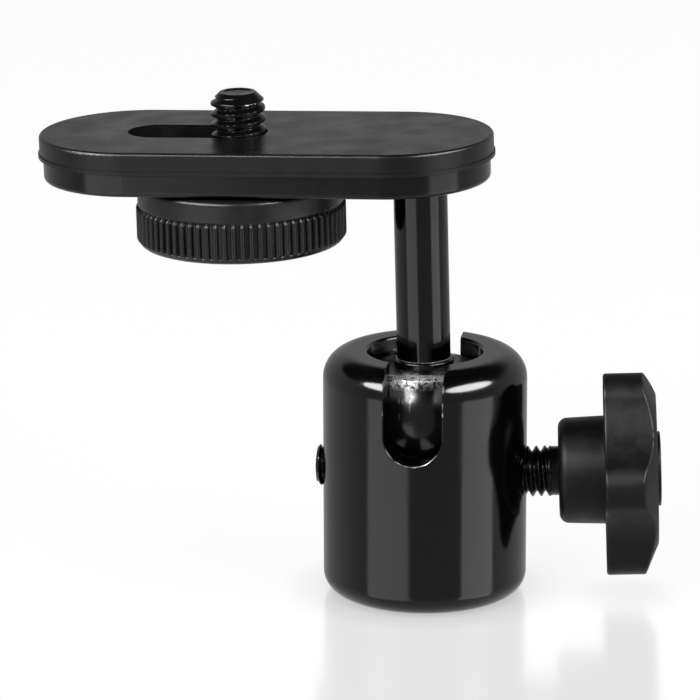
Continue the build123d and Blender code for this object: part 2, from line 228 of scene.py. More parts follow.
def put_grid(name, radius, height, turn, origin, direction, ring=False, sharp=35.0):
    """Surface carried round an axis.  Radius and height are grids of rows by columns, turn is one row, and
    each point lies at origin + direction * height + the turned side vector * radius.  A first or last row
    whose radius is nought closes to one point, and a ring joins its last row to its first."""
    rows, columns = radius.shape
    frame_axes = axis_frame(direction)
    local = np.stack([radius * np.cos(turn), radius * np.sin(turn), height], axis=-1)
    points = (local @ frame_axes + np.asarray(origin, float)) * MM
    index = np.arange(rows * columns).reshape(rows, columns)
    if not ring:
        if np.allclose(radius[0], 0):
            index[0] = index[0, 0]
        if np.allclose(radius[-1], 0):
            index[-1] = index[-1, 0]
    following = np.roll(index, -1, axis=0) if ring else index[1:]
    here = index if ring else index[:-1]
    beside = np.roll(here, -1, axis=1), np.roll(following, -1, axis=1)
    quads = np.stack([here, *beside, following], axis=-1).reshape(-1, 4)
    flat = points.reshape(-1, 3)
    a, b, c, d = (flat[quads[:, k]] for k in range(4))
    volume = (np.cross(b - a, c - a) * a).sum() + (np.cross(c - a, d - a) * a).sum()
    if volume < 0:
        quads = quads[:, ::-1]
    used, packed = np.unique(quads, return_inverse=True)
    quads = packed.reshape(-1, 4)
    flat = flat[used]
    faces = [tuple(dict.fromkeys(face)) for face in quads.tolist()]
    mesh = bpy.data.meshes.new(name)
    mesh.from_pydata(flat.tolist(), [], faces)
    mesh.validate()
    mesh.shade_smooth()
    mesh.set_sharp_from_angle(angle=math.radians(sharp))
    mesh.update()
    piece = bpy.data.objects.new(name, mesh)
    bpy.context.scene.collection.objects.link(piece)
    return piece


def finish_piece(piece, node, body, material):
    """Puts a new piece on its body in place of a frame node, with its finish."""
    piece.data.materials.clear()
    piece.data.materials.append(material)
    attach(piece, body)
    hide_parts(node)
    return piece


def groove(height, turn, pitch, crest=0.12, root=0.10):
    """Share of the thread's depth that is cut away: nought on the crest, one in the root and nearly straight
    flanks between, with the crest rising one pitch per turn so that the thread is right-handed."""
    phase = np.mod(height / pitch - turn / (2 * math.pi), 1.0)
    ramp = 1.0 - np.abs(2.0 * phase - 1.0)
    soft = smooth_step(crest - 0.06, 1.0 - root + 0.06, ramp)
    straight = np.clip((ramp - crest) / (1 - crest - root), 0, 1)
    return 0.35 * soft + 0.65 * straight


def hexagon(turn, across_flats):
    """Distance from the axis to a regular hexagon's side at each turn."""
    sector = math.pi / 3
    return across_flats / 2 / np.cos(np.mod(turn + sector / 2, sector) - sector / 2)


# ---- finishes ------------------------------------------------------------------

def socket(group, name, kind, way, default=None):
    """Adds one named socket to a node group."""
    made = group.interface.new_socket(name=name, in_out=way, socket_type=kind)
    if default is not None:
        made.default_value = default
    return made


class Graph:
    """Short hand for placing and wiring nodes."""

    def __init__(self, tree):
        self.tree = tree

    def add(self, kind, **values):
        made = self.tree.nodes.new(kind)
        for key, value in values.items():
            setattr(made, key, value)
        return made

    def wire(self, source, target):
        self.tree.links.new(source, target)

    def put(self, target, value):
        if hasattr(value, "is_output") or isinstance(value, bpy.types.NodeSocket):
            self.tree.links.new(value, target)
        else:
            target.default_value = value

    def math(self, operation, a, b=0.0, c=0.0, clamp=False):
        made = self.add("ShaderNodeMath", operation=operation, use_clamp=clamp)
        for target, value in zip(made.inputs, (a, b, c)):
            self.put(target, value)
        return made.outputs[0]

    def times(self, a, b, clamp=False):
        return self.math("MULTIPLY", a, b, clamp=clamp)

    def plus(self, a, b):
        return self.math("ADD", a, b)

    def less(self, a, b):
        return self.math("SUBTRACT", a, b)

    def most(self, a, b):
        return self.math("MAXIMUM", a, b)

    def size(self, a):
        return self.math("ABSOLUTE", a)

    def span(self, a, b):
        """Length of the two values taken as the sides of a right angle."""
        return self.math("SQRT", self.plus(self.times(a, a), self.times(b, b)))

    def blend(self, factor, a, b):
        made = self.add("ShaderNodeMix", data_type="RGBA")
        self.put(made.inputs[0], factor)
        self.put(made.inputs[6], a)
        self.put(made.inputs[7], b)
        return made.outputs[2]

    def blend_value(self, factor, a, b):
        made = self.add("ShaderNodeMix", data_type="FLOAT")
        self.put(made.inputs[0], factor)
        self.put(made.inputs[2], a)
        self.put(made.inputs[3], b)
        return made.outputs[0]

    def ease(self, value, low, high, to_low=0.0, to_high=1.0):
        made = self.add("ShaderNodeMapRange", interpolation_type="SMOOTHSTEP")
        for target, number in zip(made.inputs, (value, low, high, to_low, to_high)):
            self.put(target, number)
        return made.outputs[0]

    def noise(self, vector, scale, detail=3.0, rough=0.55):
        made = self.add("ShaderNodeTexNoise")
        self.put(made.inputs["Vector"], vector)
        self.put(made.inputs["Scale"], scale)
        made.inputs["Detail"].default_value = detail
        made.inputs["Roughness"].default_value = rough
        return made.outputs["Fac"]

    def position(self):
        return self.add("ShaderNodeTexCoord").outputs["Object"]

    def split(self, vector):
        made = self.add("ShaderNodeSeparateXYZ")
        self.put(made.inputs[0], vector)
        return made.outputs

    def moved(self, vector, location=(0, 0, 0), rotation=(0, 0, 0), scale=(1, 1, 1)):
        made = self.add("ShaderNodeMapping")
        self.put(made.inputs["Vector"], vector)
        made.inputs["Location"].default_value = location
        made.inputs["Rotation"].default_value = rotation
        made.inputs["Scale"].default_value = scale
        return made.outputs[0]


def group_of(name, inputs, outputs, build):
    """Builds a shader node group once and returns it after that."""
    if name in bpy.data.node_groups:
        return bpy.data.node_groups[name]
    tree = bpy.data.node_groups.new(name, "ShaderNodeTree")
    for label, kind, default in inputs:
        socket(tree, label, kind, "INPUT", default)
    for label, kind in outputs:
        socket(tree, label, kind, "OUTPUT")
    graph = Graph(tree)
    start = graph.add("NodeGroupInput")
    end = graph.add("NodeGroupOutput")
    build(graph, start.outputs, end.inputs)
    return tree


def build_grain(graph, given, made):
    """Fine and coarse noise added up: a height for bump and a drift for roughness."""
    fine = graph.noise(given["Vector"], given["Fine"], 3.0)
    coarse = graph.noise(given["Vector"], given["Coarse"], 2.0)
    graph.wire(graph.plus(graph.times(fine, 0.65), graph.times(coarse, 0.35)), made["Height"])
    graph.wire(graph.ease(coarse, 0.3, 0.7, -1.0, 1.0), made["Drift"])


def build_scratches(graph, given, made):
    """Thin lines where a stretched noise crosses its middle value, kept only in patches."""
    stretched = graph.moved(given["Vector"], rotation=(0.3, 0.2, 0.5), scale=(1, 9, 1))
    crossed = graph.moved(given["Vector"], rotation=(1.2, 0.7, -0.9), scale=(7, 1, 1))
    first = graph.size(graph.less(graph.noise(stretched, given["Scale"], 1.0), 0.5))
    second = graph.size(graph.less(graph.noise(crossed, given["Scale"], 1.0), 0.5))
    line = graph.ease(graph.math("MINIMUM", first, second), 0.0, given["Width"], 1.0, 0.0)
    patch = graph.ease(graph.noise(given["Vector"], 220.0, 2.0), 0.52, 0.66)
    graph.wire(graph.times(line, patch), made["Mask"])


def build_speckle(graph, given, made):
    """Small specks where fine noise is high, thinned by a coarser one."""
    fine = graph.noise(given["Vector"], given["Scale"], 2.0, 0.7)
    patch = graph.noise(given["Vector"], graph.times(given["Scale"], 0.11), 2.0)
    level = graph.less(0.80, graph.times(given["Amount"], 0.2))
    high = graph.plus(level, 0.05)
    both = graph.plus(graph.times(fine, 0.75), graph.times(patch, 0.35))
    graph.wire(graph.ease(both, level, high), made["Mask"])


def build_edge(graph, given, made):
    """Edge mask: how far the bevelled normal leans from the true one, roughened with noise."""
    bevel = graph.add("ShaderNodeBevel", samples=6)
    graph.put(bevel.inputs["Radius"], given["Radius"])
    true = graph.add("ShaderNodeNewGeometry")
    dot = graph.add("ShaderNodeVectorMath", operation="DOT_PRODUCT")
    graph.wire(bevel.outputs[0], dot.inputs[0])
    graph.wire(true.outputs["Normal"], dot.inputs[1])
    lean = graph.less(1.0, dot.outputs["Value"])
    rough = graph.noise(given["Vector"], given["Scale"], 3.0, 0.65)
    graph.wire(graph.ease(graph.times(lean, graph.ease(rough, 0.35, 0.75)), 0.02, 0.12), made["Mask"])
    graph.wire(bevel.outputs[0], made["Normal"])


NUMBER = "NodeSocketFloat"
VECTOR_IN = ("Vector", "NodeSocketVector", None)


def grain_group():
    return group_of(
        "fine grain",
        [VECTOR_IN, ("Fine", NUMBER, 2500.0), ("Coarse", NUMBER, 300.0)],
        [("Height", NUMBER), ("Drift", NUMBER)], build_grain)


def scratch_group():
    return group_of(
        "scratches",
        [VECTOR_IN, ("Scale", NUMBER, 260.0), ("Width", NUMBER, 0.012)],
        [("Mask", NUMBER)], build_scratches)


def speckle_group():
    return group_of(
        "specks",
        [VECTOR_IN, ("Scale", NUMBER, 3000.0), ("Amount", NUMBER, 0.3)],
        [("Mask", NUMBER)], build_speckle)


def edge_group():
    return group_of(
        "edge wear",
        [VECTOR_IN, ("Radius", NUMBER, 0.0002), ("Scale", NUMBER, 900.0)],
        [("Mask", NUMBER), ("Normal", "NodeSocketVector")], build_edge)


def place(graph, tree, vector, **values):
    """Places a node group in a material with its own values."""
    made = graph.add("ShaderNodeGroup")
    made.node_tree = tree
    graph.put(made.inputs["Vector"], vector)
    for label, value in values.items():
        graph.put(made.inputs[label], value)
    return made.outputs


def new_material(name):
    """A material with a plain Principled shader; returns it, its graph, its shader and Object coordinates."""
    material = bpy.data.materials.new(name)
    material.use_nodes = True
    material.node_tree.nodes.clear()
    graph = Graph(material.node_tree)
    shader = graph.add("ShaderNodeBsdfPrincipled")
    output = graph.add("ShaderNodeOutputMaterial")
    graph.wire(shader.outputs[0], output.inputs["Surface"])
    return material, graph, shader, graph.position()


def bump(graph, height, strength, distance, normal=None):
    """A Bump node that feeds on a height in millimetre-sized steps."""
    made = graph.add("ShaderNodeBump")
    made.inputs["Strength"].default_value = strength
    made.inputs["Distance"].default_value = distance
    graph.put(made.inputs["Height"], height)
    if normal is not None:
        graph.put(made.inputs["Normal"], normal)
    return made.outputs[0]


def rgba(colour, factor=1.0):
    return (colour[0] * factor, colour[1] * factor, colour[2] * factor, 1.0)


def enamel_material(name, finish, roughness, edge_radius=0.00018, edge_wear=0.5, where=None):
    """Gloss enamel: a dark coat, faint orange peel, hair scratches, and bare metal on chips at the edges and
    wherever the given mask asks, which on the housing includes a painted highlight.
    """
    material, graph, shader, place_at = new_material(name)
    grain = place(graph, grain_group(), place_at, Fine=1400.0, Coarse=260.0)
    scratch = place(graph, scratch_group(), place_at, Scale=240.0, Width=0.010)["Mask"]
    specks = place(graph, speckle_group(), place_at, Scale=1700.0, Amount=0.05 * finish.wear)["Mask"]
    edge = place(graph, edge_group(), place_at, Radius=edge_radius, Scale=700.0)
    bare_metal_mask = graph.times(edge["Mask"], edge_wear * finish.wear, clamp=True)
    if where is not None:
        # For the housing the given mask also adds a painted highlight: a strip of bright bare metal on one
        # slot's edge.
        bare_metal_mask = graph.times(bare_metal_mask, where(graph, place_at))
    dusty = graph.blend(graph.times(specks, 0.3), rgba(finish.enamel), (0.02, 0.02, 0.021, 1))
    graph.put(shader.inputs["Base Color"], graph.blend(bare_metal_mask, dusty, rgba(finish.bare)))
    worn_rough = graph.plus(roughness, graph.times(grain["Drift"], 0.02))
    worn_rough = graph.plus(worn_rough, graph.times(scratch, 0.12))
    graph.put(shader.inputs["Roughness"], graph.blend_value(bare_metal_mask, worn_rough, 0.38))
    graph.put(shader.inputs["Metallic"], bare_metal_mask)
    graph.put(shader.inputs["Normal"], bump(graph, grain["Height"], 0.10, 0.00004, edge["Normal"]))
    return material


def slot_chips_and_painted_highlight(graph, place_at):
    """Where the housing shows bare metal: real chips on the slots' lower lips and a few stray ones, and a
    painted highlight strip up one slot's right edge.
    """
    axes = graph.split(place_at)
    lip = graph.ease(axes[2], (BALL_Z - 3.0) * MM, (BALL_Z - 2.3) * MM, 1.0, 0.0)
    rise = graph.ease(axes[2], (BALL_Z + 2.4) * MM, (BALL_Z + 2.8) * MM)
    # Painted highlight: a strip of bright bare metal up the right edge of a slot stands in for a highlight on
    # that edge.
    painted_highlight_sliver = graph.times(rise, graph.ease(axes[2], (BALL_Z + 3.9) * MM, (BALL_Z + 4.3) * MM, 1.0, 0.0))
    painted_highlight_sliver = graph.times(painted_highlight_sliver, graph.ease(axes[0], 2.8 * MM, 3.2 * MM))
    stray = graph.ease(graph.noise(place_at, 260.0, 2.0), 0.66, 0.72)
    return graph.most(graph.most(lip, painted_highlight_sliver), stray)


def plastic_material(name, finish, roughness, amount, lift=1.0, gloss=0.5):
    """Moulded plastic: satin black with fine grain, light rubbed edges and pale specks."""
    material, graph, shader, place_at = new_material(name)
    grain = place(graph, grain_group(), place_at, Fine=4200.0, Coarse=500.0)
    scratch = place(graph, scratch_group(), place_at, Scale=330.0, Width=0.014)["Mask"]
    specks = place(graph, speckle_group(), place_at, Scale=2600.0, Amount=amount * finish.wear)["Mask"]
    edge = place(graph, edge_group(), place_at, Radius=0.00025, Scale=1500.0)
    rubbed = graph.times(edge["Mask"], 0.35 * finish.wear, clamp=True)
    base = graph.blend(rubbed, rgba(finish.plastic, lift), (0.03, 0.03, 0.03, 1))
    dusty = graph.blend(graph.times(specks, 0.12), base, (0.10, 0.10, 0.10, 1))
    graph.put(shader.inputs["Base Color"], dusty)
    shader.inputs["Specular IOR Level"].default_value = gloss
    rough = graph.plus(roughness, graph.times(grain["Drift"], 0.05))
    graph.put(shader.inputs["Roughness"], graph.plus(rough, graph.times(scratch, 0.1)))
    graph.put(shader.inputs["Normal"], bump(graph, grain["Height"], 0.25, 0.00005))
    return material


def steel_material(name, finish, roughness, rubbed, colour=None):
    """Blackened steel: dark satin metal, brighter where threads and edges are rubbed."""
    material, graph, shader, place_at = new_material(name)
    grain = place(graph, grain_group(), place_at, Fine=2600.0, Coarse=420.0)
    specks = place(graph, speckle_group(), place_at, Scale=2100.0, Amount=0.25 * finish.wear)["Mask"]
    edge = place(graph, edge_group(), place_at, Radius=0.00012, Scale=1100.0)
    worn = graph.times(edge["Mask"], rubbed * finish.wear, clamp=True)
    worn = graph.most(worn, graph.times(specks, 0.25 * rubbed))
    dark = rgba(finish.oxide if colour is None else colour)
    graph.put(shader.inputs["Base Color"], graph.blend(worn, dark, rgba(finish.bare)))
    shader.inputs["Metallic"].default_value = 0.9
    graph.put(shader.inputs["Roughness"], graph.plus(roughness, graph.times(grain["Drift"], 0.06)))
    graph.put(shader.inputs["Normal"], bump(graph, grain["Height"], 0.2, 0.00004))
    return material


def arm_space(graph, place_at):
    """Object coordinates turned upright with the leaning arm about the ball's centre."""
    lean = math.atan2(ARM_UP[0], ARM_UP[2])
    centre = BALL_Z * MM
    shift = (centre * math.sin(lean), 0, centre * (1 - math.cos(lean)))
    return graph.moved(place_at, location=shift, rotation=(0, -lean, 0))


def ball_wear(graph, place_at):
    """Bare metal on the ball: a thin line along the flat's rim and a wider scrape on one half."""
    axes = graph.split(place_at)
    rim = graph.ease(axes[2], (BALL_Z + 4.95) * MM, (BALL_Z + 5.3) * MM, 0.0, 0.85)
    scrape = graph.ease(axes[2], (BALL_Z + 4.1) * MM, (BALL_Z + 5.1) * MM)
    scrape = graph.times(scrape, graph.ease(axes[0], -0.9 * MM, 0.9 * MM, 1.0, 0.12))
    away = graph.ease(graph.size(axes[1]), 4.2 * MM, 5.2 * MM)
    speck = graph.ease(graph.noise(place_at, 2600.0, 4.0, 0.75), 0.42, 0.60)
    return graph.times(graph.most(rim, scrape), graph.times(away, speck))


def ball_material(finish):
    """Black-finished ball with a turned flat and bare, scraped metal where the rod's slots leave it open, plus
    a painted reflection: a bright metal stripe up its left side.
    """
    material, graph, shader, place_at = new_material("ball finish")
    place_at = arm_space(graph, place_at)
    grain = place(graph, grain_group(), place_at, Fine=1800.0, Coarse=500.0)
    axes = graph.split(place_at)
    around = graph.span(axes[0], axes[1])
    rings = graph.math("SINE", graph.times(around, 2 * math.pi / (0.35 * MM)))
    on_flat = graph.ease(axes[2], (BALL_Z + 5.3) * MM, (BALL_Z + 5.45) * MM)
    worn = ball_wear(graph, place_at)
    # Painted reflection: a bright bare-metal stripe left of the middle, from low on the ball up to the flat and
    # stronger towards the top, stands in for the left softbox's reflection.
    painted_reflection_streak = graph.ease(graph.noise(graph.moved(place_at, scale=(1, 1, 0.35)), 900.0, 3.0, 0.7), 0.52, 0.70)
    middle = graph.ease(graph.size(graph.plus(axes[0], 1.4 * MM)), 0.5 * MM, 1.5 * MM, 1.0, 0.0)
    painted_reflection_rise = graph.ease(axes[2], (BALL_Z + 0.3) * MM, (BALL_Z + 4.5) * MM, 0.0, 0.45)
    patch = graph.times(graph.times(painted_reflection_streak, middle), painted_reflection_rise)
    # This bare-metal mask holds both the real wear and the painted reflection stripe.
    bare = graph.times(graph.most(worn, patch), finish.wear, clamp=True)
    black, bright = (0.0012, 0.0012, 0.00125, 1), (0.75, 0.75, 0.74, 1)
    graph.put(shader.inputs["Base Color"], graph.blend(bare, black, bright))
    graph.put(shader.inputs["Metallic"], bare)
    rough = graph.blend_value(on_flat, 0.20, 0.34)
    graph.put(shader.inputs["Roughness"], graph.blend_value(bare, rough, 0.30))
    height = graph.plus(graph.times(graph.times(rings, on_flat), 0.3), grain["Height"])
    height = graph.plus(height, graph.times(bare, -0.8))
    graph.put(shader.inputs["Normal"], bump(graph, height, 0.25, 0.00006))
    return material


def rubber_material(finish):
    """Matte rubber: fine pebble, pale dust, a rubbed ring round the camera screw and one short scratch."""
    material, graph, shader, place_at = new_material("pad rubber")
    place_at = arm_space(graph, place_at)
    grain = place(graph, grain_group(), place_at, Fine=3600.0, Coarse=240.0)
    specks = place(graph, speckle_group(), place_at, Scale=1500.0, Amount=0.30 * finish.wear)["Mask"]
    scratch = place(graph, scratch_group(), place_at, Scale=200.0, Width=0.006)["Mask"]
    axes = graph.split(graph.moved(place_at, location=(-SCREW_X * MM, 0, 0)))
    around = graph.span(axes[0], axes[1])
    ring = graph.ease(graph.size(graph.less(around, 16.1 * MM)), 0.15 * MM, 0.75 * MM, 1.0, 0.0)
    ring = graph.times(ring, graph.ease(graph.noise(place_at, 700.0, 3.0), 0.38, 0.62))
    inside = graph.ease(around, 15.0 * MM, 16.6 * MM, 1.0, 0.0)
    nick_at = (-(SCREW_X + 4.0) * MM, 2.3 * MM, 0)
    line = graph.split(graph.moved(place_at, location=nick_at, rotation=(0, 0, math.radians(24))))
    nick = graph.times(graph.ease(graph.size(line[1]), 0.02 * MM, 0.11 * MM, 1.0, 0.0),
                      graph.ease(graph.size(line[0]), 0.9 * MM, 1.3 * MM, 1.0, 0.0))
    top = graph.ease(axes[2], (PAD_TOP - 0.3) * MM, (PAD_TOP - 0.05) * MM)
    tone = graph.ease(graph.noise(place_at, 95.0, 3.0), 0.35, 0.65, 0.88, 1.14)
    dark = graph.times(nick, 0.75)
    pale = graph.times(graph.plus(graph.times(ring, 0.012), graph.times(specks, 0.05)), top)
    shade = graph.add("ShaderNodeMix", data_type="RGBA", blend_type="MULTIPLY")
    shade.inputs[0].default_value = 1.0
    graph.put(shade.inputs[6], rgba(finish.rubber))
    toned = graph.add("ShaderNodeCombineColor")
    for target in toned.inputs:
        graph.put(target, tone)
    graph.put(shade.inputs[7], toned.outputs[0])
    lit = graph.blend(pale, shade.outputs[2], (0.30, 0.30, 0.30, 1))
    graph.put(shader.inputs["Base Color"], graph.blend(dark, lit, (0.001, 0.001, 0.001, 1)))
    shader.inputs["Specular IOR Level"].default_value = 0.42
    rough = graph.plus(0.33, graph.times(grain["Drift"], 0.05))
    graph.put(shader.inputs["Roughness"], graph.less(rough, graph.times(graph.times(inside, top), 0.03)))
    height = graph.less(grain["Height"], graph.times(graph.plus(nick, graph.times(scratch, 0.2)), 1.5))
    graph.put(shader.inputs["Normal"], bump(graph, height, 0.35, 0.00006))
    return material


def brass_material(name, finish):
    """Machined brass with turning lines and a dull film."""
    material, graph, shader, place_at = new_material(name)
    grain = place(graph, grain_group(), place_at, Fine=2600.0, Coarse=320.0)
    film = graph.ease(grain["Drift"], -0.4, 0.8, 0.0, 0.5)
    graph.put(shader.inputs["Base Color"], graph.blend(film, rgba(finish.brass), rgba(finish.brass, 0.45)))
    shader.inputs["Metallic"].default_value = 1.0
    graph.put(shader.inputs["Roughness"], graph.plus(0.30, graph.times(film, 0.25)))
    graph.put(shader.inputs["Normal"], bump(graph, grain["Height"], 0.2, 0.00004))
    return material


def dress(node, material):
    """Gives a frame node its finish."""
    shape = frame["nodes"][node]
    if len(shape.data.materials) == 0:
        shape.data.materials.append(material)
    for index in range(len(shape.data.materials)):
        shape.data.materials[index] = material


# ---- operators ---------------------------------------------------------------------

class BRACKET_OT_housing(bpy.types.Operator):
    """Enamels the housing and cuts the stand thread in its bush"""
    bl_idname = "bracket.housing"
    bl_label = "Housing and bush"

    def execute(self, context):
        finish, sizes = context.scene.bracket_finish, context.scene.bracket_sizes
        dress("housing", enamel_material("housing enamel", finish, 0.13, 0.0003, 0.9, slot_chips_and_painted_highlight))
        steel = steel_material("bush steel", finish, 0.28, 0.6, (0.36, 0.36, 0.37))
        outer = reach("threaded_bush", (0, 0, 0), (1, 0, 0))[1]
        top = reach("threaded_bush", (0, 0, 0), (0, 0, 1))[1]
        bore = 7.43
        root = 7.95
        corners = [(outer - 0.35, 0), (outer, 0.35), (outer, top - 0.3), (outer - 0.3, top),
                   (root + 0.25, top), (bore, top - 0.7), (bore, 0.7), (root + 0.25, 0)]
        path = refine(np.array(corners + corners[:1]), 0.075)[:-1]
        radius, height, turn = spread(path, 144)
        cut = bore + (root - bore) * groove(height, turn, sizes.stand_pitch)
        inner = radius < root + 0.26
        radius = np.where(inner, np.maximum(radius, cut), radius)
        piece = put_grid("stand_thread_bush", radius, height, turn, (0, 0, 0), (0, 0, 1), ring=True)
        finish_piece(piece, "threaded_bush", "housing", steel)
        return {"FINISHED"}


class BRACKET_OT_guide(bpy.types.Operator):
    """Makes the threaded guide screw with its hexagon socket"""
    bl_idname = "bracket.guide_screw"
    bl_label = "Guide screw"

    def execute(self, context):
        finish, sizes = context.scene.bracket_finish, context.scene.bracket_sizes
        outer, dog = 2.5, 1.2
        start, end = reach("guide_screw", (0, 0, 0), (-1, 0, 0))
        middle = sum(reach("guide_screw", (0, 0, 0), (0, 0, 1))) / 2
        shoulder = 8.4
        path = [(0, start), (dog - 0.15, start), (dog, start + 0.15), (dog, shoulder),
                (outer - 0.35, shoulder), (outer, shoulder + 0.35), (outer, end - 0.35), (outer - 0.4, end),
                (1.62, end), (1.45, end - 0.17), (1.45, end - 2.0), (0, end - 2.4)]
        path = refine(path, 0.07)
        radius, height, turn = spread(path, 96)
        row = np.arange(len(path))[:, None]
        last_outer = int(np.argmax(path[:, 1] >= end - 1e-9))
        on_thread = (path[:, :1] > dog + 0.05) & (row <= last_outer + 2)
        cut = outer - 0.46 * groove(height, turn, sizes.guide_pitch)
        radius = np.where(on_thread, np.minimum(radius, cut), radius)
        in_socket = row > last_outer + 2
        socket_side = hexagon(turn, 2.5)
        radius = np.where(in_socket, np.minimum(radius, np.maximum(socket_side, 0)), radius)
        piece = put_grid("guide_set_screw", radius, height, turn, (0, 0, middle), (-1, 0, 0))
        steel = steel_material("guide screw oxide", finish, 0.24, 0.7)
        finish_piece(piece, "guide_screw", "housing", steel)
        return {"FINISHED"}


class BRACKET_OT_ball_and_rod(bpy.types.Operator):
    """Finishes the ball, the rod and the inner brass pieces"""
    bl_idname = "bracket.ball_and_rod"
    bl_label = "Ball, rod and cup"

    def execute(self, context):
        finish = context.scene.bracket_finish
        dress("ball", ball_material(finish))
        dress("rod", enamel_material("rod enamel", finish, 0.12, 0.00015, 0.3))
        dress("pressure_cup", brass_material("cup brass", finish))
        dress("pressure_tip", brass_material("tip brass", finish))
        return {"FINISHED"}


class BRACKET_OT_plate(bpy.types.Operator):
    """Finishes the plate, its screw and the rubber pad"""
    bl_idname = "bracket.plate"
    bl_label = "Plate and pad"

    def execute(self, context):
        finish = context.scene.bracket_finish
        dress("plate", enamel_material("plate enamel", finish, 0.16, 0.0003, 0.1))
        dress("plate_screw", steel_material("plate screw oxide", finish, 0.3, 0.4))
        dress("pad", rubber_material(finish))
        return {"FINISHED"}


class BRACKET_OT_thumbwheel(bpy.types.Operator):
    """Makes the ridged thumbwheel and finishes its washer"""
    bl_idname = "bracket.thumbwheel"
    bl_label = "Thumbwheel"

    def execute(self, context):
        finish, sizes = context.scene.bracket_finish, context.scene.bracket_sizes
        low, high = reach("thumbwheel", ARM_FOOT, ARM_UP)
        outer = reach("thumbwheel", SCREW_FOOT, (0, 1, 0))[1]
        collar = 12.1
        recess = reach("slide_washer", SCREW_FOOT, (0, 1, 0))[1] + 0.05
        recess_z = reach("slide_washer", ARM_FOOT, ARM_UP)[0] - 0.05
        knurl_top, knurl_low = high - 2.6, low + 0.6
        head_z = low + 0.8 + 3.9
        hole = 3.2
        edge = sizes.edge_round
        corners = [(hole, recess_z), (recess, recess_z), (recess, high), (collar, high), (collar, low),
                   (7.2, low), (6.4, low + 0.8), (6.4, head_z), (hole, head_z)]
        radii = [0, 0, 0.12, edge + 0.15, edge + 0.55, 0.3, 0, 0, 0]
        path = refine(rounded_path(corners + corners[:1], radii + [0], 6)[:-1], 0.18)
        radius, height, turn = spread(path, 72 * 12)
        wave = np.abs(np.mod(turn * sizes.wheel_ridges / (2 * math.pi) + 0.5, 1.0) - 0.5) * 2
        width = 0.62
        arch = np.sqrt(np.clip(1 - (wave / width) ** 2, 0, 1))
        crown = np.where(wave < width, (1 - arch) * 0.55, 0.55)
        top_fall = smooth_step(0.0, 0.28, knurl_top - crown - height)
        foot = smooth_step(0.0, 0.22, height - knurl_low)
        band = smooth_step(0.0, 0.18, knurl_top + 0.05 - height) * foot
        ridge = arch ** 0.6 * top_fall * foot
        depth = sizes.ridge_depth
        side = radius > 11.2
        knurled = radius + (outer - collar) * ridge - (depth - (outer - collar)) * (band - ridge)
        radius = np.where(side, knurled, radius)
        pocket = (height > low + 0.7) & (height < head_z + 0.01) & (radius < 6.45) & (radius > hole + 0.01)
        radius = np.where(pocket, np.minimum(radius, hexagon(turn, 11.14)), radius)
        piece = put_grid("ridged_thumbwheel", radius, height, turn, SCREW_FOOT, ARM_UP, ring=True, sharp=50)
        plastic = plastic_material("wheel plastic", finish, 0.34, 0.5, 2.4, 0.46)
        finish_piece(piece, "thumbwheel", "wheel", plastic)
        dress("slide_washer", plastic_material("washer plastic", finish, 0.45, 0.2))
        return {"FINISHED"}


class BRACKET_OT_camera_screw(bpy.types.Operator):
    """Makes the threaded camera screw with its dimpled end and hexagon head"""
    bl_idname = "bracket.camera_screw"
    bl_label = "Camera screw"

    def execute(self, context):
        finish, sizes = context.scene.bracket_finish, context.scene.bracket_sizes
        low, high = reach("camera_screw", ARM_FOOT, ARM_UP)
        head_top = low + 3.9
        outer, root = 3.175, 2.56
        head, neck, tip = 6.35, 3.05, 2.12
        corners = [(0, low), (head - 0.6, low), (head, low + 0.35), (head, head_top),
                   (neck, head_top), (neck, head_top + 2.2), (outer, head_top + 2.5),
                   (outer, high - 1.05), (tip, high), (1.75, high), (1.5, high - 0.14), (0, high - 0.24)]
        radii = [0, 0.1, 0.1, 0.1, 0, 0, 0, 0.3, 0.12, 0.1, 0.1, 0]
        path = refine(rounded_path(corners, radii, 5), 0.055)
        radius, height, turn = spread(path, 128)
        is_head = height < head_top + 0.001
        radius = np.where(is_head, np.minimum(radius, hexagon(turn, 11.1)), radius)
        fade = smooth_step(head_top + 2.0, head_top + 3.2, height)
        wear = 0.05 * np.sin(3 * turn + 0.8 * height) + 0.03 * np.sin(7 * turn - 1.3 * height)
        depth = (outer - root) * fade * (1 + wear)
        cut = outer - depth * groove(height, turn, sizes.camera_pitch, 0.26, 0.10)
        bitten = np.maximum(np.maximum(cut, tip), radius - 0.2)
        threaded = (~is_head) & (radius > 1.9)
        cut = np.where(height > high - 0.25, bitten, cut)
        radius = np.where(threaded, np.minimum(radius, cut), radius)
        piece = put_grid("camera_thread_screw", radius, height, turn, SCREW_FOOT, ARM_UP)
        steel = steel_material("camera screw oxide", finish, 0.20, 0.8)
        finish_piece(piece, "camera_screw", "wheel", steel)
        return {"FINISHED"}


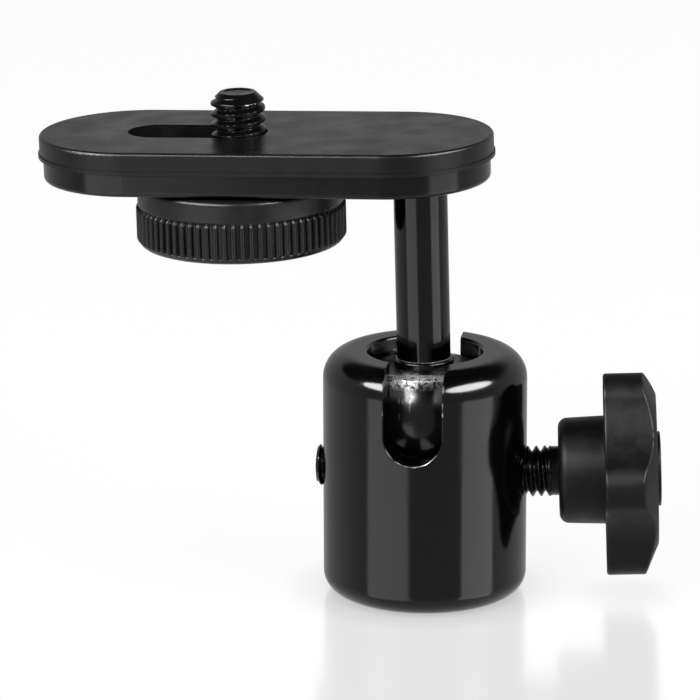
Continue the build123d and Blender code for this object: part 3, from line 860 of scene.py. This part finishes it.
class BRACKET_OT_clamp(bpy.types.Operator):
    """Makes the threaded clamp screw, the lobed knob and its cap"""
    bl_idname = "bracket.clamp"
    bl_label = "Clamp screw and knob"

    def execute(self, context):
        finish, sizes = context.scene.bracket_finish, context.scene.bracket_sizes
        start, end = reach("clamp_screw", CLAMP_FOOT, CLAMP_OUT)
        hub = reach("star_knob", CLAMP_FOOT, CLAMP_OUT)[0]
        outer, root = 3.0, 2.39
        head_x = end - 4.2
        bore, neck, corner = 1.25, 2.9, 4.04
        path = [(0, start + 2.6), (bore, start + 2.6), (bore, start), (outer - 0.5, start),
                (outer, start + 0.5), (outer, hub - 1.0), (neck, hub - 0.9), (neck, head_x),
                (corner, head_x), (corner, end), (0, end)]
        path = refine(path, 0.055)
        radius, height, turn = spread(path, 120)
        row = np.arange(len(path))[:, None]
        inner_rows = int(np.argmax(path[:, 0] > bore + 0.01))
        fade = smooth_step(0.0, 0.5, hub - 0.95 - height)
        cut = outer - (outer - root) * groove(height, turn, sizes.clamp_pitch) * fade
        threaded = (row >= inner_rows) & (height < hub - 0.85)
        radius = np.where(threaded, np.minimum(radius, cut), radius)
        radius = np.where(height > head_x - 0.001, np.minimum(radius, hexagon(turn, 7.0)), radius)
        piece = put_grid("clamp_thread_screw", radius, height, turn, CLAMP_FOOT, CLAMP_OUT)
        steel = steel_material("clamp screw oxide", finish, 0.22, 0.8)
        finish_piece(piece, "clamp_screw", "clamp", steel)
        self.make_knob(finish, sizes)
        self.make_cap(finish)
        return {"FINISHED"}

    def make_knob(self, finish, sizes):
        """Knob: a rounded hub, then a lobed head cut by a cone at the face.  The head's rim, by the angle a
        from a scallop's middle, is the scallop's arc r = c cos a - sqrt(s^2 - c^2 sin^2 a), with c its
        distance and s its radius, then the lobe's round corner r = d cos(a - b) + sqrt(f^2 - d^2 sin^2(a - b)),
        with d and b the place of the corner's centre and f its radius, then the rim's circle."""
        hub, face = reach("star_knob", CLAMP_FOOT, CLAMP_OUT)
        seat = reach("knob_cap", CLAMP_FOOT, CLAMP_OUT)[0]
        cap = reach("knob_cap", CLAMP_FOOT, axis_frame(CLAMP_OUT)[0])[1]
        star, rim, face_r, bevel, edge = hub + 5.4, 12.45, 8.8, 1.6, sizes.edge_round
        turn = np.linspace(0, 2 * math.pi, 720, endpoint=False)[None, :]
        # a quarter turn lies straight up; the first lobe stands 13.9 degrees past it
        first = math.radians(90 + 13.9)
        sector = 2 * math.pi / sizes.star_lobes
        around = np.abs(np.mod(turn - first, sector) - sector / 2)
        centre, scallop, soft = 20.4, 10.75, 2.9
        inset = rim - soft
        corner = math.acos((centre**2 + inset**2 - (scallop + soft) ** 2) / (2 * centre * inset))
        share = scallop / (scallop + soft)
        across = centre + share * (inset * math.cos(corner) - centre)
        meet = math.atan2(share * inset * math.sin(corner), across)
        valley_square = np.clip(scallop**2 - (centre * np.sin(around)) ** 2, 0, None)
        valley = centre * np.cos(around) - np.sqrt(valley_square)
        lobe_square = np.clip(soft**2 - (inset * np.sin(around - corner)) ** 2, 0, None)
        rounded = inset * np.cos(around - corner) + np.sqrt(lobe_square)
        lobed = np.where(around > corner, rim, np.where(around > meet, rounded, valley))
        hub_r = 6.38
        hub_path = rounded_path([(2.95, hub), (hub_r - 0.2, hub), (hub_r, star)], [0, 1.1, 0], 8)
        rows = [np.repeat(hub_path[:, :1], turn.size, axis=1)]
        heights = [hub_path[:, 1:]]
        share = np.linspace(0, 1, 9)[1:, None]
        rows.append(hub_r + share * (lobed - edge - hub_r))
        heights.append(star + 0 * share)
        bend = np.radians(np.linspace(0, 90, 6))[1:, None]
        rows.append(lobed - edge * (1 - np.sin(bend)))
        heights.append(star + edge * (1 - np.cos(bend)))
        climb = np.linspace(star + edge, face - 0.02, 40)[1:, None]
        cone = face_r + (face - climb) * (rim - face_r) / bevel
        rows.append(smooth_least(lobed, cone, 0.35))
        heights.append(climb)
        inside = [(face_r - 0.15, face), (cap + 0.02, face), (cap + 0.02, seat),
                  (4.15, seat), (4.15, seat - 4.2), (2.95, seat - 4.2)]
        tail = rounded_path(inside, [0, 0.1, 0, 0, 0, 0], 4)
        tail = refine(tail, 1.2)
        rows.append(np.repeat(tail[:, :1], turn.size, axis=1))
        heights.append(tail[:, 1:])
        radius = np.concatenate([np.broadcast_to(row, (row.shape[0], turn.size)) for row in rows])
        height = np.concatenate([np.repeat(column, turn.size, axis=1) for column in heights])
        piece = put_grid("lobed_knob", radius, height, turn, CLAMP_FOOT, CLAMP_OUT, ring=True, sharp=40)
        plastic = plastic_material("knob plastic", finish, 0.45, 0.25, 1.0, 0.27)
        finish_piece(piece, "star_knob", "clamp", plastic)

    def make_cap(self, finish):
        """Cap: a slightly domed disc with a rounded edge."""
        low, high = reach("knob_cap", CLAMP_FOOT, CLAMP_OUT)
        rim = reach("knob_cap", CLAMP_FOOT, axis_frame(CLAMP_OUT)[0])[1]
        dome = [(0, low), (rim, low), (rim, high - 0.12), (rim - 0.9, high - 0.05), (0, high)]
        path = refine(rounded_path(dome, [0, 0.05, 0.15, 0.4, 0], 6), 0.25)
        radius, height, turn = spread(path, 96)
        piece = put_grid("domed_cap", radius, height, turn, CLAMP_FOOT, CLAMP_OUT)
        plastic = plastic_material("cap plastic", finish, 0.42, 0.2, 1.0, 0.27)
        finish_piece(piece, "knob_cap", "clamp", plastic)


class BRACKET_OT_studio(bpy.types.Operator):
    """Sets the camera, the pale floor and the soft lights"""
    bl_idname = "bracket.studio"
    bl_label = "Studio"

    def execute(self, context):
        stage = context.scene.bracket_studio
        self.place_camera(context.scene, stage)
        self.lay_floor(context.scene)
        self.hang_lights(context.scene, stage)
        self.fill_world(context.scene, stage)
        context.scene.view_settings.view_transform = "Standard"
        context.scene.view_settings.look = "None"
        return {"FINISHED"}

    def place_camera(self, scene, stage):
        """Camera on a circle round the target, turned with it, looking down at its height angle."""
        data = bpy.data.cameras.new("studio camera")
        data.sensor_width = 36
        data.lens = stage.lens
        data.clip_start, data.clip_end = 0.01, 20
        camera = bpy.data.objects.new("studio camera", data)
        scene.collection.objects.link(camera)
        turn = Matrix.Rotation(stage.turn, 3, "Z")
        down = math.sin(stage.height)
        along = math.cos(stage.height)
        forward = turn @ Vector((0, along, -down))
        rise = turn @ Vector((0, down, along))
        right = turn @ Vector((1, 0, 0))
        lean_right = right * math.cos(stage.roll) - rise * math.sin(stage.roll)
        lean_up = right * math.sin(stage.roll) + rise * math.cos(stage.roll)
        basis = Matrix((lean_right, lean_up, -forward)).transposed()
        stand = turn @ Vector(stage.target) - forward * stage.distance
        camera.matrix_world = Matrix.Translation(stand) @ basis.to_4x4()
        scene.camera = camera

    def lay_floor(self, scene):
        """A wide pale floor with a faint gloss, lit from within like a lightbox table, its glow dimmed close to
        the object as a painted contact shadow.
        """
        mesh = bpy.data.meshes.new("studio floor")
        half = 3.0
        corners = [(-half, -half, 0), (half, -half, 0), (half, half, 0), (-half, half, 0)]
        mesh.from_pydata(corners, [], [(0, 1, 2, 3)])
        floor = bpy.data.objects.new("studio floor", mesh)
        scene.collection.objects.link(floor)
        floor.visible_glossy = False
        material = bpy.data.materials.new("pale floor")
        material.use_nodes = True
        material.node_tree.nodes.clear()
        graph = Graph(material.node_tree)
        output = graph.add("ShaderNodeOutputMaterial")
        glow = graph.add("ShaderNodeEmission")
        glow.inputs["Color"].default_value = (1, 1, 1, 1)
        painted_contact_shadow = graph.add("ShaderNodeAmbientOcclusion")
        painted_contact_shadow.samples = 8
        painted_contact_shadow.inputs["Distance"].default_value = 0.006
        # Painted contact shadow: the glow falls from 0.71 to 0.45 where ambient occlusion finds the object
        # within 6 mm.
        graph.put(glow.inputs["Strength"], graph.blend_value(painted_contact_shadow.outputs["AO"], 0.45, 0.71))
        paper = graph.add("ShaderNodeBsdfDiffuse")
        paper.inputs["Color"].default_value = (0.03, 0.03, 0.03, 1)
        gloss = graph.add("ShaderNodeBsdfGlossy")
        gloss.inputs["Color"].default_value = (0.55, 0.55, 0.55, 1)
        gloss.inputs["Roughness"].default_value = 0.16
        first = graph.add("ShaderNodeAddShader")
        graph.wire(glow.outputs[0], first.inputs[0])
        graph.wire(paper.outputs[0], first.inputs[1])
        second = graph.add("ShaderNodeAddShader")
        graph.wire(first.outputs[0], second.inputs[0])
        graph.wire(gloss.outputs[0], second.inputs[1])
        graph.wire(second.outputs[0], output.inputs["Surface"])
        mesh.materials.append(material)

    def lamp(self, scene, name, azimuth, elevation, wide, tall, radiance, shape="RECTANGLE"):
        """A soft lamp 0.8 m from the object, seen from it at these angles from the camera's side."""
        stage = scene.bracket_studio
        a = math.radians(azimuth) + stage.turn
        e = math.radians(elevation)
        back = Vector((math.sin(a) * math.cos(e), -math.cos(a) * math.cos(e), math.sin(e)))
        data = bpy.data.lights.new(name, "AREA")
        data.shape = shape
        data.size, data.size_y = wide, tall
        data.energy = radiance * math.pi * wide * tall
        lamp = bpy.data.objects.new(name, data)
        scene.collection.objects.link(lamp)
        lamp.location = Vector((0, 0, 0.03)) + back * 0.8
        lamp.rotation_mode = "QUATERNION"
        lamp.rotation_quaternion = back.to_track_quat("Z", "Y")
        lamp.visible_camera = False
        return lamp

    def hang_lights(self, scene, stage):
        """Two raised softboxes in front, left and right, and two low reflectors under them."""
        self.lamp(scene, "right softbox", 57, 36, 0.80, 0.34, stage.softbox, "ELLIPSE")
        self.lamp(scene, "left softbox", -52, 36, 0.80, 0.34, stage.softbox, "ELLIPSE")
        self.lamp(scene, "right reflector", 61, -22, 0.55, 0.34, 1.45)
        self.lamp(scene, "left reflector", -44, -22, 0.68, 0.34, 1.12)

    def fill_world(self, scene, stage):
        """White for the camera; for light, a grey room, darker overhead and in front, paler below."""
        world = bpy.data.worlds.new("studio room")
        scene.world = world
        world.use_nodes = True
        world.node_tree.nodes.clear()
        graph = Graph(world.node_tree)
        output = graph.add("ShaderNodeOutputWorld")
        path = graph.add("ShaderNodeLightPath")
        axes = graph.split(graph.add("ShaderNodeTexCoord").outputs["Generated"])
        side = graph.times(axes[0], math.sin(stage.turn))
        toward = graph.less(side, graph.times(axes[1], math.cos(stage.turn)))
        behind = graph.ease(toward, -0.3, 0.75, 0.52, 0.35)
        overhead = graph.ease(axes[2], 0.38, 0.64, 1.0, 0.05)
        below = graph.ease(axes[2], -0.75, -0.15, 1.8, 1.0)
        level = graph.times(graph.times(behind, overhead), below)
        grey = graph.add("ShaderNodeBackground")
        graph.put(grey.inputs["Strength"], level)
        white = graph.add("ShaderNodeBackground")
        white.inputs["Strength"].default_value = 1.05
        mix = graph.add("ShaderNodeMixShader")
        graph.wire(path.outputs["Is Camera Ray"], mix.inputs[0])
        graph.wire(grey.outputs[0], mix.inputs[1])
        graph.wire(white.outputs[0], mix.inputs[2])
        graph.wire(mix.outputs[0], output.inputs["Surface"])


class BRACKET_PT_panel(bpy.types.Panel):
    """Lists the bracket's operators and settings"""
    bl_label = "Swivel bracket"
    bl_idname = "BRACKET_PT_panel"
    bl_space_type = "VIEW_3D"
    bl_region_type = "UI"
    bl_category = "Bracket"

    def draw(self, context):
        layout = self.layout
        scene = context.scene
        for group in (scene.bracket_sizes, scene.bracket_finish, scene.bracket_studio):
            box = layout.box()
            for name in group.__annotations__:
                box.prop(group, name)
        for operator in OPERATORS:
            layout.operator(operator.bl_idname)


OPERATORS = (
    BRACKET_OT_housing,
    BRACKET_OT_guide,
    BRACKET_OT_ball_and_rod,
    BRACKET_OT_plate,
    BRACKET_OT_thumbwheel,
    BRACKET_OT_camera_screw,
    BRACKET_OT_clamp,
    BRACKET_OT_studio,
)
CLASSES = (BracketSizes, BracketFinish, StudioSettings) + OPERATORS + (BRACKET_PT_panel,)


def register():
    for kind in CLASSES:
        bpy.utils.register_class(kind)
    bpy.types.Scene.bracket_sizes = PointerProperty(type=BracketSizes)
    bpy.types.Scene.bracket_finish = PointerProperty(type=BracketFinish)
    bpy.types.Scene.bracket_studio = PointerProperty(type=StudioSettings)


def unregister():
    del bpy.types.Scene.bracket_sizes
    del bpy.types.Scene.bracket_finish
    del bpy.types.Scene.bracket_studio
    for kind in reversed(CLASSES):
        bpy.utils.unregister_class(kind)


def main():
    """Runs every operator in order."""
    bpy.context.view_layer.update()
    register()
    for operator in OPERATORS:
        area, name = operator.bl_idname.split(".")
        getattr(getattr(bpy.ops, area), name)()


if __name__ == "__main__":
    main()
